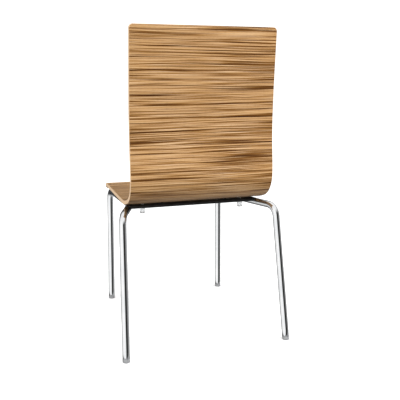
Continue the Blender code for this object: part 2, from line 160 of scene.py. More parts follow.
def volume(points, faces):
    """The signed volume in a closed surface: a sixth of the sum of a . (b x c) over the triangles that
    fan out from each face's first corner."""
    total = 0.0
    for count in {len(face) for face in faces}:
        at = points[np.array([face for face in faces if len(face) == count])]
        for corner in range(1, count - 1):
            across = np.cross(at[:, corner], at[:, corner + 1])
            total += np.einsum("ij,ij->i", at[:, 0], across).sum()
    return total / 6


def put_piece(name, points, faces, finishes, replaces, face_finish=None):
    """A closed mesh whose faces look outward, riding on the chair in place of its CAD nodes, if any.
    Where it has several finishes, face_finish gives each face's place among them."""
    points = np.asarray(points, float).reshape(-1, 3)
    faces = [list(map(int, face)) for face in faces]
    if volume(points, faces) < 0:
        faces = [face[::-1] for face in faces]
    mesh = bpy.data.meshes.new(name)
    mesh.from_pydata(points.tolist(), [], faces)
    for finish in finishes:
        mesh.materials.append(finish)
    if face_finish is not None:
        mesh.polygons.foreach_set("material_index", face_finish)
    mesh.polygons.foreach_set("use_smooth", np.ones(len(faces), bool))
    piece = bpy.data.objects.new(name, mesh)
    bpy.context.scene.collection.objects.link(piece)
    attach(piece, "root")
    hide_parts(*replaces)
    return piece


def put_ring(name, grid, finish, replaces):
    """A piece whose grid closes both ways, such as a hollow tube or a washer."""
    return put_piece(name, grid, net(*grid.shape[:2], round_rows=True), [finish], replaces)


def tube_wall(line):
    """A hollow tube as the rows of one grid: circles along its outside from end to end, narrower at
    both lips, and then back along its bore."""
    outside, bore, lip = (
        carried(circle(TUBE_RADIUS - inward, TUBE_SIDES), line, (1, 0, 0))
        for inward in (POLISHED_AWAY, TUBE_WALL, TUBE_END_EASE)
    )
    return np.concatenate([lip[:1], outside[1:-1], lip[-1:], bore[::-1]])


class Nodes:
    """A node tree whose nodes are added and joined in one call each."""

    def __init__(self, tree):
        self.tree = tree

    def node(self, kind, inputs=None, output=0, **settings):
        """Adds a node, sets or joins its inputs, and gives back one of its outputs."""
        made = self.tree.nodes.new("ShaderNode" + kind)
        for setting, value in settings.items():
            setattr(made, setting, value)
        for socket, value in (inputs or {}).items():
            self.join(value, made.inputs[socket])
        return made.outputs[output]

    def join(self, value, socket):
        """Links another node's output to the socket, or sets it to a constant."""
        if isinstance(value, bpy.types.NodeSocket):
            self.tree.links.new(value, socket)
        else:
            socket.default_value = value

    def parts(self, vector):
        """The three parts of a vector."""
        made = self.tree.nodes.new("ShaderNodeSeparateXYZ")
        self.join(vector, made.inputs[0])
        return tuple(made.outputs)

    def noise(self, vector, scale, detail, roughness=0.5):
        """Cloudy noise from 0 to 1; a larger scale is finer."""
        inputs = {"Vector": vector, "Scale": scale, "Detail": detail, "Roughness": roughness}
        return self.node("TexNoise", inputs, output="Fac")

    def math(self, operation, first, second, third=0.0):
        """One step of arithmetic on two or three values."""
        made = self.tree.nodes.new("ShaderNodeMath")
        made.operation = operation
        for value, socket in zip((first, second, third), made.inputs):
            self.join(value, socket)
        return made.outputs[0]

    def span(self, value, low, high, to_low=0.0, to_high=1.0):
        """The range low to high carried over to the range to_low to to_high, and held at its ends."""
        ends = {"From Min": low, "From Max": high, "To Min": to_low, "To Max": to_high}
        return self.node("MapRange", {"Value": value, **ends})

    def ramp(self, value, stops):
        """Colours along a value, at (place, colour) stops. A colour may be a single grey."""
        made = self.tree.nodes.new("ShaderNodeValToRGB")
        self.join(value, made.inputs[0])
        elements = made.color_ramp.elements
        while len(elements) < len(stops):
            elements.new(0.5)
        for element, (place, color) in zip(elements, stops):
            element.position = place
            element.color = (*color, 1) if isinstance(color, tuple) else (color, color, color, 1)
        return made.outputs[0]

    def mix(self, share, first, second, blend="MIX"):
        """Two colours blended by share."""
        made = self.tree.nodes.new("ShaderNodeMix")
        made.data_type, made.blend_type = "RGBA", blend
        for value, index in ((share, 0), (first, 6), (second, 7)):
            self.join((*value, 1) if isinstance(value, tuple) else value, made.inputs[index])
        return made.outputs[2]

    def times(self, first, *others):
        """Colours multiplied together, channel by channel."""
        for other in others:
            first = self.mix(1.0, first, other, "MULTIPLY")
        return first

    def swung(self, value, cloud, reach):
        """Value + reach * (cloud - 0.5)."""
        return self.math("MULTIPLY_ADD", self.math("SUBTRACT", cloud, 0.5), reach, value)


class Finish(Nodes):
    """A material built round one Principled shader, whose constant sockets are given by name."""

    def __init__(self, name, **constants):
        self.material = bpy.data.materials.new(name)
        self.material.use_nodes = True
        super().__init__(self.material.node_tree)
        self.shader = self.tree.nodes["Principled BSDF"]
        for socket, value in constants.items():
            self.shader.inputs[socket.replace("_", " ")].default_value = value

    def place(self, stretch=(1, 1, 1), uv_map=None):
        """Object coordinates, or a UV map's, stretched."""
        if uv_map:
            source = self.node("UVMap", uv_map=uv_map)
        else:
            source = self.node("TexCoord", output="Object")
        return self.node("Mapping", {"Vector": source, "Scale": stretch})

    def bump(self, height, distance, strength):
        """A normal tilted by the slope of height, whose full range is this many metres."""
        return self.node("Bump", {"Height": height, "Distance": distance, "Strength": strength})

    def grey(self, value):
        """The same value in all three channels of a colour."""
        return self.node("CombineXYZ", {"X": value, "Y": value, "Z": value})

    def paint(self, **sockets):
        """Joins these values to the shader's sockets, and gives back the material."""
        for socket, value in sockets.items():
            self.join(value, self.shader.inputs[socket.replace("_", " ")])
        return self.material


def chrome_plate():
    """Bright chrome: a faint grey cloud in its colour, finger smears in its gloss, and polishing lines
    over a slow ripple. The tint is its colour seen edge on."""
    chrome = Finish("chrome_plate", Metallic=1.0, Specular_Tint=(0.38, 0.39, 0.40, 1))
    cloud = chrome.noise(chrome.place(), 18, 3)
    smears = chrome.noise(chrome.place((1, 1, 0.35)), 55, 4, 0.6)
    lines = chrome.noise(chrome.place((1, 1, 0.02)), 2600, 2)
    ripple = chrome.noise(chrome.place((1, 1, 0.3)), 42, 1)
    color = chrome.ramp(cloud, ((0.3, (0.80, 0.815, 0.83)), (0.7, (0.90, 0.905, 0.91))))
    height = chrome.math("ADD", chrome.math("MULTIPLY", lines, 0.02), ripple)
    return chrome.paint(
        Base_Color=color,
        Roughness=chrome.span(smears, 0.35, 0.75, 0.035, 0.11),
        Normal=chrome.bump(height, 0.0002, 0.25),
    )


chrome = chrome_plate()
left_corners = frame_corners()
left_line_corners = left_corners.copy()
for end, next_corner in ((0, 1), (-1, -2)):
    up_leg = unit(left_corners[next_corner] - left_corners[end])
    left_line_corners[end] += up_leg * (CAP_HEAD_HEIGHT + TOUCH)
bends = (LEG_BEND_RADIUS, RAIL_KINK_RADIUS, LEG_BEND_RADIUS)
sides = (("left", 1), ("right", -1))
for label, side in sides:
    wall = tube_wall(rounded_line(left_line_corners * (side, 1, 1), bends))
    put_ring(f"chromed_frame_{label}", wall, chrome, [f"side_frame_{label}"])

# --- Cross rails -------------
# Two channels folded from 1.5 mm sheet, open side down, their ends coped to the tubes and welded
# with a thin bead from lip to lip over the web. Rails and welds are painted satin black.

CHANNEL_WIDTH = 0.036
CHANNEL_HEIGHT = 0.009
CHANNEL_WALL = 0.0015
CHANNEL_FOLD_RADIUS = 0.0027
LIP_STEP = 0.0030
RAIL_STATIONS = 61
WELD_RADIUS = 0.0011
WELD_SIDES = 12
WELD_STATIONS = 160
WELD_RIPPLE_LENGTH = 0.0016
WELD_RIPPLE_HEIGHT = 0.10
WELD_TAPER = 0.03
WELD_END_SIZE = 0.35


def run_along(line):
    """The length run along a line at each of its points."""
    return np.r_[0, np.cumsum(np.linalg.norm(np.diff(line, axis=0), axis=1))]


def quarter(centre, radius, start, count=7):
    """A quarter turn anticlockwise from this angle in degrees: centre + R * (cos(a), sin(a))."""
    angle = np.radians(start + 90 * np.linspace(0, 1, count))
    return np.array(centre) + radius * np.stack([np.cos(angle), np.sin(angle)], 1)


def channel_line(inset, fold):
    """The channel's section from its rear lip over the web to its front lip, inset from the outside."""
    half, top = CHANNEL_WIDTH / 2 - inset, -inset
    lip, above_lip = -CHANNEL_HEIGHT, LIP_STEP - CHANNEL_HEIGHT
    rear = quarter((half - fold, top - fold), fold, 0)
    front = quarter((-half + fold, top - fold), fold, 90)
    rear_lip, front_lip = [(half, lip), (half, above_lip)], [(-half, above_lip), (-half, lip)]
    return np.concatenate([rear_lip, rear, front, front_lip])


def rail_place(y):
    """The left tube's straight run at this y: a function that gives its centre's x at any y, first_x +
    (y - first_y) * run_x / run_y, and the cosine of its toe-in."""
    rear_top, kink, front_top = left_corners[1:4]
    first, last = (rear_top, kink) if y > kink[1] else (kink, front_top)
    run_x, run_y = (last - first)[:2]
    return lambda at: first[0] + run_x * (at - first[1]) / run_y, abs(run_y) / np.hypot(run_x, run_y)


def coped_end(section, middle_y, gap=TOUCH):
    """How far out each point of the section reaches before it meets the tube: the tube's centre less
    the half chord sqrt(R^2 - z^2) over the cosine of the toe-in, where z is the height above the
    tube's centre and R the tube's radius and the gap."""
    centre_x, toe_cosine = rail_place(middle_y)
    y, z = section[:, 0] + middle_y, section[:, 1] + TUBE_RADIUS
    chord = np.sqrt(np.maximum((TUBE_RADIUS + gap) ** 2 - z**2, 0.0))
    return centre_x(y) - chord / toe_cosine


def rail_surface(middle_y):
    """The rail's closed section from tube to tube: x = share * coped_end, y and z as folded."""
    outside = channel_line(0.0, CHANNEL_FOLD_RADIUS)
    inside = channel_line(CHANNEL_WALL, CHANNEL_FOLD_RADIUS - CHANNEL_WALL)
    section = np.concatenate([outside, inside[::-1]])
    share = np.linspace(-1, 1, RAIL_STATIONS)[:, None]
    reach = coped_end(section, middle_y)
    x = share * reach
    y = np.broadcast_to(section[:, 0] + middle_y, x.shape)
    z = np.broadcast_to(section[:, 1] + rail_z + TUBE_RADIUS, x.shape)
    return np.stack([x, y, z], -1)


def rail_faces(rows, columns):
    """The quads along the section, and at each end the quads across the thickness of the sheet."""
    half = columns // 2
    outer = np.arange(half - 1)
    across = np.stack([outer, outer + 1, columns - 2 - outer, columns - 1 - outer], 1)
    last = (rows - 1) * columns
    return np.concatenate([net(rows, columns), across[:, ::-1], across + last])


def weld_surface(middle_y, side):
    """A bead along the cope, from lip to lip over the web. It is a circle that swells and dips as
    1 + height * cos(2 pi * run / length), as the puddle was moved on, and tapers at its ends."""
    section = channel_line(0.0, CHANNEL_FOLD_RADIUS)
    step = np.linspace(0, 1, WELD_STATIONS)
    length = run_along(section)
    section = np.stack([np.interp(step * length[-1], length, part) for part in section.T], 1)
    y, z = section[:, 0] + middle_y, section[:, 1] + rail_z + TUBE_RADIUS
    line = np.stack([coped_end(section, middle_y, 0.0), y, z], 1)
    centre_x, _ = rail_place(middle_y)
    tube_axis = np.stack([centre_x(y), y, np.full(len(y), rail_z)], 1)
    ripple = 1 + WELD_RIPPLE_HEIGHT * np.cos(step * length[-1] / WELD_RIPPLE_LENGTH * 2 * np.pi)
    taper = np.clip(np.minimum(step, 1 - step) / WELD_TAPER, WELD_END_SIZE, 1)
    bead = circle(WELD_RADIUS, WELD_SIDES) * (ripple * taper)[:, None, None]
    return carried(bead, line, line - tube_axis) * (side, 1, 1)


def ends_closed(rows, columns):
    """A net round its columns, closed at both ends by a face of many sides."""
    first = list(range(columns))[::-1]
    last = list(range((rows - 1) * columns, rows * columns))
    return [*net(rows, columns).tolist(), first, last]


def put_solid(name, grid, finish, replaces):
    """A piece whose grid goes round a solid from one end to the other."""
    return put_piece(name, grid, ends_closed(*grid.shape[:2]), [finish], replaces)


def black_paint():
    """Satin black enamel: orange peel, faint dust in the colour, and gloss that comes and goes."""
    paint = Finish("black_enamel", Specular_IOR_Level=0.5)
    peel = paint.noise(paint.place(), 900, 2)
    dust = paint.noise(paint.place(), 60, 5, 0.7)
    color = paint.ramp(dust, ((0.35, (0.006, 0.006, 0.007)), (0.75, (0.022, 0.021, 0.020))))
    return paint.paint(
        Base_Color=color,
        Roughness=paint.span(dust, 0.3, 0.7, 0.30, 0.48),
        Normal=paint.bump(peel, 0.0001, 0.4),
    )


def middle_of(node):
    """The middle of a CAD node's box."""
    low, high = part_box(node)
    return np.array((low + high) / 2)


enamel = black_paint()
rails = {end: middle_of(f"{end}_cross_rail")[1] for end in ("rear", "front")}
for end, middle_y in rails.items():
    rail = rail_surface(middle_y)
    rail_quads = rail_faces(*rail.shape[:2])
    put_piece(f"painted_rail_{end}", rail, rail_quads, [enamel], [f"{end}_cross_rail"])
    for label, side in sides:
        put_solid(f"weld_{end}_{label}", weld_surface(middle_y, side), enamel, [])

# --- Stacking bumpers --------
# Soft clear plastic buffers, moulded with a barbed stem that is pushed up through the rail's web.
# They keep one chair's rails off the shell of the chair below.

BUMPER_RADIUS = 0.0090
BUMPER_BELOW_RAIL = 0.0185
BUMPER_STEM_RADIUS = 0.0040
BUMPER_BARB_RADIUS = 0.0052
BUMPER_BARB_HEIGHT = 0.0012
BUMPER_TIP_RADIUS = 0.0006
BUMPER_STEM_EASE = 0.0002
BUMPER_ROUNDING = 0.0030
# The flange under the web, narrowing to the body: (in from the full radius, down from the web).
BUMPER_FLANGE = (
    (0.0010, 0.0), (0.0002, 0.0003), (0.0, 0.0012),
    (0.0001, 0.0026), (0.0008, 0.0036), (0.0010, 0.0060),
)
BUMPER_WAIST = 0.0006
BUMPER_WAIST_HEIGHT = 0.0070
# The dimple in the sole: (radius, depth).
BUMPER_DIMPLE = (
    (0.0042, 0.0), (0.0036, 0.0003), (0.0030, 0.0012), (0.0018, 0.0016), (0.0004, 0.0017),
)


def turned(profile, centre, steps=40, swell=1.0):
    """A turned piece: each (radius, height) of the profile goes to (r * cos(a), r * sin(a), height)
    round its centre. Here r is radius * swell, and swell may differ from angle to angle."""
    angle = np.arange(steps) * 2 * np.pi / steps
    radius, height = np.asarray(profile, float).T[:, :, None]
    radius = radius * swell
    return np.stack([radius * np.cos(angle), radius * np.sin(angle), height + 0 * angle], -1) + centre


def bumper_profile():
    """The bumper's section from the barb's tip down its stem to the body, round the sole's edge and
    into its dimple. Heights are from the top of the rail's web."""
    web_bottom = -CHANNEL_WALL - TOUCH
    sole = -CHANNEL_HEIGHT - BUMPER_BELOW_RAIL
    barb_top = BUMPER_BARB_HEIGHT + TOUCH
    stem = [
        (BUMPER_TIP_RADIUS, barb_top), (BUMPER_STEM_RADIUS - BUMPER_STEM_EASE, barb_top),
        (BUMPER_STEM_RADIUS, BUMPER_BARB_HEIGHT), (BUMPER_BARB_RADIUS, TOUCH),
        (BUMPER_STEM_RADIUS, TOUCH), (BUMPER_STEM_RADIUS, web_bottom),
    ]
    flange = [(BUMPER_RADIUS - inward, web_bottom - down) for inward, down in BUMPER_FLANGE]
    body = [(BUMPER_RADIUS - BUMPER_WAIST, sole + BUMPER_WAIST_HEIGHT)]
    edge_centre = (BUMPER_RADIUS - BUMPER_ROUNDING, sole + BUMPER_ROUNDING)
    edge = quarter(edge_centre, BUMPER_ROUNDING, -90, 9)[::-1]
    dimple = [(radius, sole + depth) for radius, depth in BUMPER_DIMPLE]
    return np.concatenate([stem, flange, body, edge, dimple])


def clear_plastic():
    """Clear soft plastic, a little cloudy: it lets light through, and its skin is faintly dimpled."""
    plastic = Finish("clear_soft_plastic", Transmission_Weight=0.60, IOR=1.46, Coat_Weight=0.2)
    cloud = plastic.noise(plastic.place(), 300, 3)
    color = plastic.ramp(cloud, ((0.3, (0.76, 0.775, 0.78)), (0.7, (0.88, 0.89, 0.89))))
    return plastic.paint(
        Base_Color=color,
        Roughness=plastic.span(cloud, 0.3, 0.7, 0.22, 0.36),
        Normal=plastic.bump(plastic.noise(plastic.place(), 1400, 2), 0.0001, 0.3),
    )


clear = clear_plastic()
web_top = rail_z + TUBE_RADIUS
for end in rails:
    for label, side in sides:
        x, y, _ = middle_of(f"stacking_bumper_{end}_{label}")
        bumper = turned(bumper_profile(), (x, y, web_top))
        replaced = [f"stacking_bumper_{end}_{label}"]
        put_solid(f"clear_bumper_{end}_{label}", bumper, clear, replaced)

# --- Seat and back shell -----
# Nine beech plies glued and pressed between heated moulds into one bent piece 12 mm thick, faced
# on both sides with zebrano laid across the chair, its edges sanded round and all of it lacquered.

SHELL_THICKNESS = 0.012
SEAT_UNDERSIDE = 0.426
BACK_BEFORE_REAR_FOOT = 0.0455
SEAT_FLAT_LENGTH = 0.3155
FRONT_ROLL_RADIUS = 0.040
FRONT_ROLL_ANGLE = np.radians(52)
BEND_REAR_RADIUS = 0.085
BEND_REAR_ANGLE = np.radians(70)
BEND_FRONT_RADIUS = 0.300
LUMBAR_ABOVE_BEND = 0.118
LUMBAR_FORWARD = 0.006
BACK_TOP_REARWARD = 0.018
BACK_TOP_SLOPE = 0.10
TOP_CORNER_RADIUS = 0.012
FRONT_CORNER_RADIUS = 0.020
ARRIS_RADIUS = 0.0012
PLY_COUNT = 9
ROLL_STATIONS = 40
SHALLOW_BEND_STATIONS = 40
TIGHT_BEND_STATIONS = 90
LOWER_BACK_STATIONS = 60
UPPER_BACK_STATIONS = 120
SEAT_STEP = 0.004
SHELL_COLUMNS = 31
SHELL_STATIONS = 262
CORNER_STATIONS = 12
ARRIS_STEPS = 5
PLY_STEPS = 9
# The outer steps of each arris, where the veneer is sanded over and no plies show.
VENEERED_STEPS = 2
# Where the upper leaf was cut from the veneer, beside the lower leaf.
UPPER_LEAF_PLACE = (2.0, 0.37)


def cubic(start, end, start_slope, end_slope, share):
    """A cubic from start to end along share s. The start counts for 2s^3 - 3s^2 + 1 and the end for the
    rest, and their slopes, per unit of s, for s^3 - 2s^2 + s and s^3 - s^2."""
    square, cube = share**2, share**3
    at_start = (2 * cube - 3 * square + 1) * start + (cube - 2 * square + share) * start_slope
    return at_start + (3 * square - 2 * cube) * end + (cube - square) * end_slope


def level_arc(start, radius, angle):
    """An arc that is level where it starts: start + R * (sin(a), 1 - cos(a))."""
    return np.array(start) + radius * np.stack([np.sin(angle), 1 - np.cos(angle)], 1)


def shell_line():
    """The shell's lower face in side view as (y, z): front roll, level seat, the bend's two arcs, and
    the back, forward to the lumbar point and rearward again to the top."""
    open_angle = np.pi / 2 - BEND_REAR_ANGLE
    roll = FRONT_ROLL_ANGLE * np.linspace(1, 0, ROLL_STATIONS)
    shallow = open_angle * np.linspace(0, 1, SHALLOW_BEND_STATIONS)
    tight = open_angle + BEND_REAR_ANGLE * np.linspace(0, 1, TIGHT_BEND_STATIONS)
    reach = BEND_FRONT_RADIUS * np.sin(open_angle) + BEND_REAR_RADIUS * (1 - np.sin(open_angle))
    flat_rear = back_y - reach
    flat_front = flat_rear - SEAT_FLAT_LENGTH
    front_roll = level_arc((flat_front, SEAT_UNDERSIDE), -FRONT_ROLL_RADIUS, roll)
    bend_front = level_arc((flat_rear, SEAT_UNDERSIDE), BEND_FRONT_RADIUS, shallow)
    towards_centre = np.array([-np.sin(open_angle), np.cos(open_angle)])
    centre = bend_front[-1] + BEND_REAR_RADIUS * towards_centre
    bend_rear = centre + BEND_REAR_RADIUS * np.stack([np.sin(tight), -np.cos(tight)], 1)
    bend_top = bend_rear[-1, 1]
    lumbar_z = bend_top + LUMBAR_ABOVE_BEND
    arris_step = SHELL_THICKNESS * BACK_TOP_SLOPE / np.hypot(1, BACK_TOP_SLOPE)
    rise = shell_top - arris_step - lumbar_z
    low, high = np.linspace(0, 1, LOWER_BACK_STATIONS), np.linspace(0, 1, UPPER_BACK_STATIONS)
    lumbar_y, top_y = back_y - LUMBAR_FORWARD, back_y + BACK_TOP_REARWARD
    to_lumbar = cubic(back_y, lumbar_y, 0, 0, low)
    to_top = cubic(lumbar_y, top_y, 0, BACK_TOP_SLOPE * rise, high)
    lower_back = np.stack([to_lumbar, bend_top + LUMBAR_ABOVE_BEND * low], 1)
    upper_back = np.stack([to_top, lumbar_z + rise * high], 1)
    flat = straight(front_roll[-1], bend_front[0], SEAT_STEP)
    stretches = (front_roll, flat, bend_front, bend_rear, lower_back)
    return np.concatenate([*(stretch[:-1] for stretch in stretches), upper_back])


back_y = rear_foot_y - BACK_BEFORE_REAR_FOOT
shell_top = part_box("seat_shell")[1].z
pressed_line = shell_line()
pressed_length = run_along(pressed_line)
pressed_along = unit(np.gradient(pressed_line, pressed_length, axis=0))
shell_length = pressed_length[-1]


def in_shell(x, along, depth):
    """A point of the pressed shell: x across, its place along the lower face, plus depth times that
    face's normal, which points up from the seat and forward from the back."""
    parts = (*pressed_line.T, *pressed_along.T)
    y, z, dy, dz = (np.interp(along, pressed_length, part) for part in parts)
    size = np.hypot(dy, dz)
    return np.stack([x, y - depth * dz / size, z + depth * dy / size], -1)


def corner_inset(distance, radius):
    """How much narrower each side is at this distance d from an end with corners of radius R:
    R - sqrt(R^2 - (R - d)^2)."""
    inside = np.clip(radius - distance, 0, radius)
    return radius - np.sqrt(radius**2 - inside**2)


def face_stations(inset):
    """Stations along a face that stops this far inside the outline. Within a corner's radius R of an
    end they close up towards it: the distance from the face's end is (R - inset) * (1 - cos(a))."""
    close_up = 1 - np.cos(np.linspace(0, np.pi / 2, CORNER_STATIONS))
    front = inset + (FRONT_CORNER_RADIUS - inset) * close_up
    top = shell_length - inset - (TOP_CORNER_RADIUS - inset) * close_up[::-1]
    middle = np.linspace(FRONT_CORNER_RADIUS, shell_length - TOP_CORNER_RADIUS, SHELL_STATIONS)
    return np.concatenate([front[:-1], middle, top[1:]])


def half_width(along, inset):
    """Half the shell's width at each station, less the inset and both ends' corner insets."""
    narrow = corner_inset(along - inset, FRONT_CORNER_RADIUS - inset)
    narrow += corner_inset(shell_length - inset - along, TOP_CORNER_RADIUS - inset)
    return shell_half_width - inset - narrow


def face_grid(depth):
    """One face of the shell inside its rounded arris: x = share * half width."""
    along = face_stations(ARRIS_RADIUS)[:, None]
    share = np.linspace(-1, 1, SHELL_COLUMNS)[None]
    x = share * half_width(along, ARRIS_RADIUS)
    along = along + 0 * share
    return in_shell(x, along, depth), np.stack([x, along], -1)


def border(rows, columns):
    """The indices round a grid's edge: up its last column, along its last row and back round to the
    start."""
    index = np.arange(rows * columns).reshape(rows, columns)
    return np.concatenate([index[:-1, -1], index[-1, :0:-1], index[:0:-1, 0], index[0, :-1]])


def edge_rings(flat_outline):
    """The shell's edge as rings round its outline, and each ring's depth in the sheet. Each ring is
    the outline moved outward in the sheet: by R * sin(a) at depth R * (1 - cos(a)) round the lower
    arris, by R through the plies, and the same as below round the upper arris."""
    step = np.roll(flat_outline, -1, 0) - np.roll(flat_outline, 1, 0)
    outward = unit(np.stack([step[:, 1], -step[:, 0]], 1))
    turn = np.linspace(0, np.pi / 2, ARRIS_STEPS + 1)[1:]
    out = ARRIS_RADIUS * np.sin(turn)
    down = ARRIS_RADIUS * (1 - np.cos(turn))
    through = np.linspace(ARRIS_RADIUS, SHELL_THICKNESS - ARRIS_RADIUS, PLY_STEPS + 1)[1:-1]
    outs = np.concatenate([out, np.full(len(through), ARRIS_RADIUS), out[::-1]])
    depths = np.concatenate([down, through, SHELL_THICKNESS - down[::-1]])
    across, along = np.moveaxis(flat_outline[None] + outward[None] * outs[:, None, None], 2, 0)
    return in_shell(across, along, depths[:, None] + 0 * across), depths


def veneer():
    """Zebrano cut on the quarter and lacquered: tan wood with dark streaks that run across the chair,
    wander a little, swell and die out, with fine lines and pores between them."""
    wood = Finish("zebrano_veneer", Specular_IOR_Level=0.24, Coat_Weight=0.06, Coat_Roughness=0.20)
    across, along, _ = wood.parts(wood.node("UVMap", uv_map="leaf"))
    sway = wood.noise(wood.place((1.5, 4.0, 1), "leaf"), 1, 1)
    wobble = wood.noise(wood.place((7, 20, 1), "leaf"), 1, 1)
    wandered = wood.swung(wood.swung(along, sway, 0.024), wobble, 0.0030)

    def grain(length, pitch, shift=0.0, detail=1.0, roughness=0.5):
        """Noise drawn out across the chair into streaks of about this length and pitch."""
        x = wood.math("MULTIPLY_ADD", across, 1 / length, shift)
        y = wood.math("MULTIPLY", wandered, 1 / pitch)
        return wood.noise(wood.node("CombineXYZ", {"X": x, "Y": y}), 1.0, detail, roughness)

    streaks = grain(length=0.62, pitch=0.0064, detail=2.0, roughness=0.55)
    lines = grain(length=0.42, pitch=0.0026, shift=31.0)
    threads = grain(length=0.18, pitch=0.0012, shift=71.0)
    pores = grain(length=0.013, pitch=0.00045, shift=57.0)
    bands = grain(length=0.5, pitch=0.050, shift=13.0)
    heart = wood.swung(wood.swung(streaks, threads, 0.55), bands, 0.20)
    late = wood.swung(lines, threads, 0.45)
    ground = wood.ramp(threads, (
        (0.30, (0.350, 0.185, 0.060)), (0.50, (0.460, 0.270, 0.112)), (0.72, (0.610, 0.425, 0.255)),
    ))
    stain = wood.ramp(heart, (
        (0.29, (0.170, 0.090, 0.012)), (0.40, (0.350, 0.245, 0.085)), (0.45, (0.640, 0.540, 0.370)),
        (0.49, (0.960, 0.950, 0.920)), (0.66, (1.0, 1.0, 1.0)),
    ))
    tint = wood.ramp(late, (
        (0.31, (0.270, 0.175, 0.060)), (0.43, (0.520, 0.420, 0.260)), (0.485, (0.940, 0.920, 0.890)),
        (0.62, (1.0, 1.0, 1.0)),
    ))
    flecks = wood.grey(wood.span(pores, 0.30, 0.46, 0.72, 1.0))
    rub = wood.noise(wood.place(), 9, 4, 0.6)
    tone = wood.math("ADD", heart, late)
    height = wood.math("MULTIPLY_ADD", pores, 0.5, wood.math("MULTIPLY", tone, 0.5))
    return wood.paint(
        Base_Color=wood.times(ground, stain, tint, flecks),
        Roughness=wood.span(rub, 0.3, 0.7, 0.30, 0.44),
        Normal=wood.bump(height, 0.00015, 0.35),
    )


def ply_edge():
    """The sanded edge: nine plies, end grain and long grain by turns, with a thin dark glue line
    between them, under clear lacquer."""
    edge = Finish("beech_ply_edge", Specular_IOR_Level=0.5, Coat_Weight=0.15, Coat_Roughness=0.25)
    _, depth, _ = edge.parts(edge.node("UVMap", uv_map="leaf"))
    waver = edge.math("MULTIPLY", edge.noise(edge.place((22, 0, 1), "leaf"), 1, 3), 0.35)
    ply = edge.math("MULTIPLY_ADD", depth, PLY_COUNT / SHELL_THICKNESS, waver)
    within = edge.math("PINGPONG", ply, 0.5)
    turn = edge.math("PINGPONG", ply, 1.0)
    glue = edge.span(within, 0.0, 0.09)
    layer = edge.span(turn, 0.42, 0.58)
    fibres = edge.noise(edge.place((70, 5200, 1), "leaf"), 1, 3)
    specks = edge.noise(edge.place((1500, 2600, 1), "leaf"), 1, 2)
    long_grain = edge.ramp(fibres, ((0.3, (0.72, 0.50, 0.30)), (0.7, (0.90, 0.69, 0.46))))
    end_grain = edge.ramp(specks, ((0.3, (0.54, 0.35, 0.20)), (0.7, (0.76, 0.53, 0.33))))
    wood = edge.mix(layer, long_grain, end_grain)
    return edge.paint(
        Base_Color=edge.mix(glue, (0.26, 0.15, 0.08), wood),
        Roughness=edge.span(specks, 0.3, 0.7, 0.34, 0.50),
        Normal=edge.bump(specks, 0.0001, 0.3),
    )


def shell_map(flat, rim, depths):
    """The map at each point of the shell as a face and as an edge, and the length round its outline.
    A face is mapped in metres across and along its leaf of veneer, the edge in metres round the
    outline and through the plies."""
    size, outline = len(flat), flat[rim]
    is_upper = np.repeat(depths > SHELL_THICKNESS / 2, len(rim))[:, None]
    ring_leaf = np.tile(outline, (len(depths), 1)) + is_upper * np.array(UPPER_LEAF_PLACE)
    leaf = np.concatenate([flat, flat + UPPER_LEAF_PLACE, ring_leaf])
    run = run_along(np.concatenate([outline, outline[:1]]))
    face_run = np.zeros(2 * size)
    face_run[rim] = face_run[size + rim] = run[:-1]
    round_outline = np.r_[face_run, np.tile(run[:-1], len(depths))]
    through = np.r_[np.zeros(size), np.full(size, SHELL_THICKNESS), np.repeat(depths, len(rim))]
    return leaf, np.stack([round_outline, through], 1), run[-1]


def put_shell():
    """Joins the two faces and the edge rings between them into one closed mesh, with its map."""
    lower, flat = face_grid(0.0)
    upper, _ = face_grid(SHELL_THICKNESS)
    rows, columns = lower.shape[:2]
    flat, rim = flat.reshape(-1, 2), border(rows, columns)
    rings, depths = edge_rings(flat[rim])
    size, around = len(flat), len(rim)
    points = np.concatenate([part.reshape(-1, 3) for part in (lower, upper, rings)])

    face = net(rows, columns, round_columns=False)
    ring_index = 2 * size + np.arange(len(rings) * around).reshape(-1, around)
    ring_index = np.concatenate([rim[None], ring_index, size + rim[None]])
    edge = net(len(ring_index), around)
    faces = np.concatenate([face[:, ::-1], face + size, ring_index.reshape(-1)[edge]])
    level = edge.min(1) // around
    is_ply = (level >= VENEERED_STEPS) & (level < len(rings) + 1 - VENEERED_STEPS)
    finish_index = np.r_[np.zeros(2 * len(face), int), is_ply.astype(int)]
    piece = put_piece(
        "veneered_shell", points, faces, [veneer(), ply_edge()],
        ["seat_shell"], finish_index,
    )

    leaf, edge_map, outline_length = shell_map(flat, rim, depths)
    corner = np.empty(len(piece.data.loops), int)
    piece.data.loops.foreach_get("vertex_index", corner)
    uv = leaf[corner]
    # The quads that close the outline carry on past its full length instead of back to nought.
    quads = edge_map[corner].reshape(-1, 4, 2)
    run = quads[..., 0]
    closes = np.ptp(run, axis=1, keepdims=True) > outline_length / 2
    quads[..., 0] = np.where(closes & (run < outline_length / 2), run + outline_length, run)
    on_ply = np.repeat(finish_index == 1, 4)
    uv[on_ply] = quads.reshape(-1, 2)[on_ply]
    layer = piece.data.uv_layers.new(name="leaf")
    layer.uv.foreach_set("vector", uv.astype(np.float32).ravel())


put_shell()

# --- Fixings -----------------
# Four M6 screws, each with a washer, go up through the rails and a rubber spacer into threaded
# inserts in the shell. Screws, washers and inserts are zinc plated.

SCREW_RADIUS = 0.0030
SCREW_SHANK_RADIUS = 0.00291
SCREW_POINT_RADIUS = 0.00234
SCREW_CHAMFER = 0.0008
SCREW_HEAD_RADIUS = 0.0060
SCREW_HEAD_HEIGHT = 0.0036
SCREW_HEAD_EASE = 0.0003
SCREW_TIP_RADIUS = 0.0005
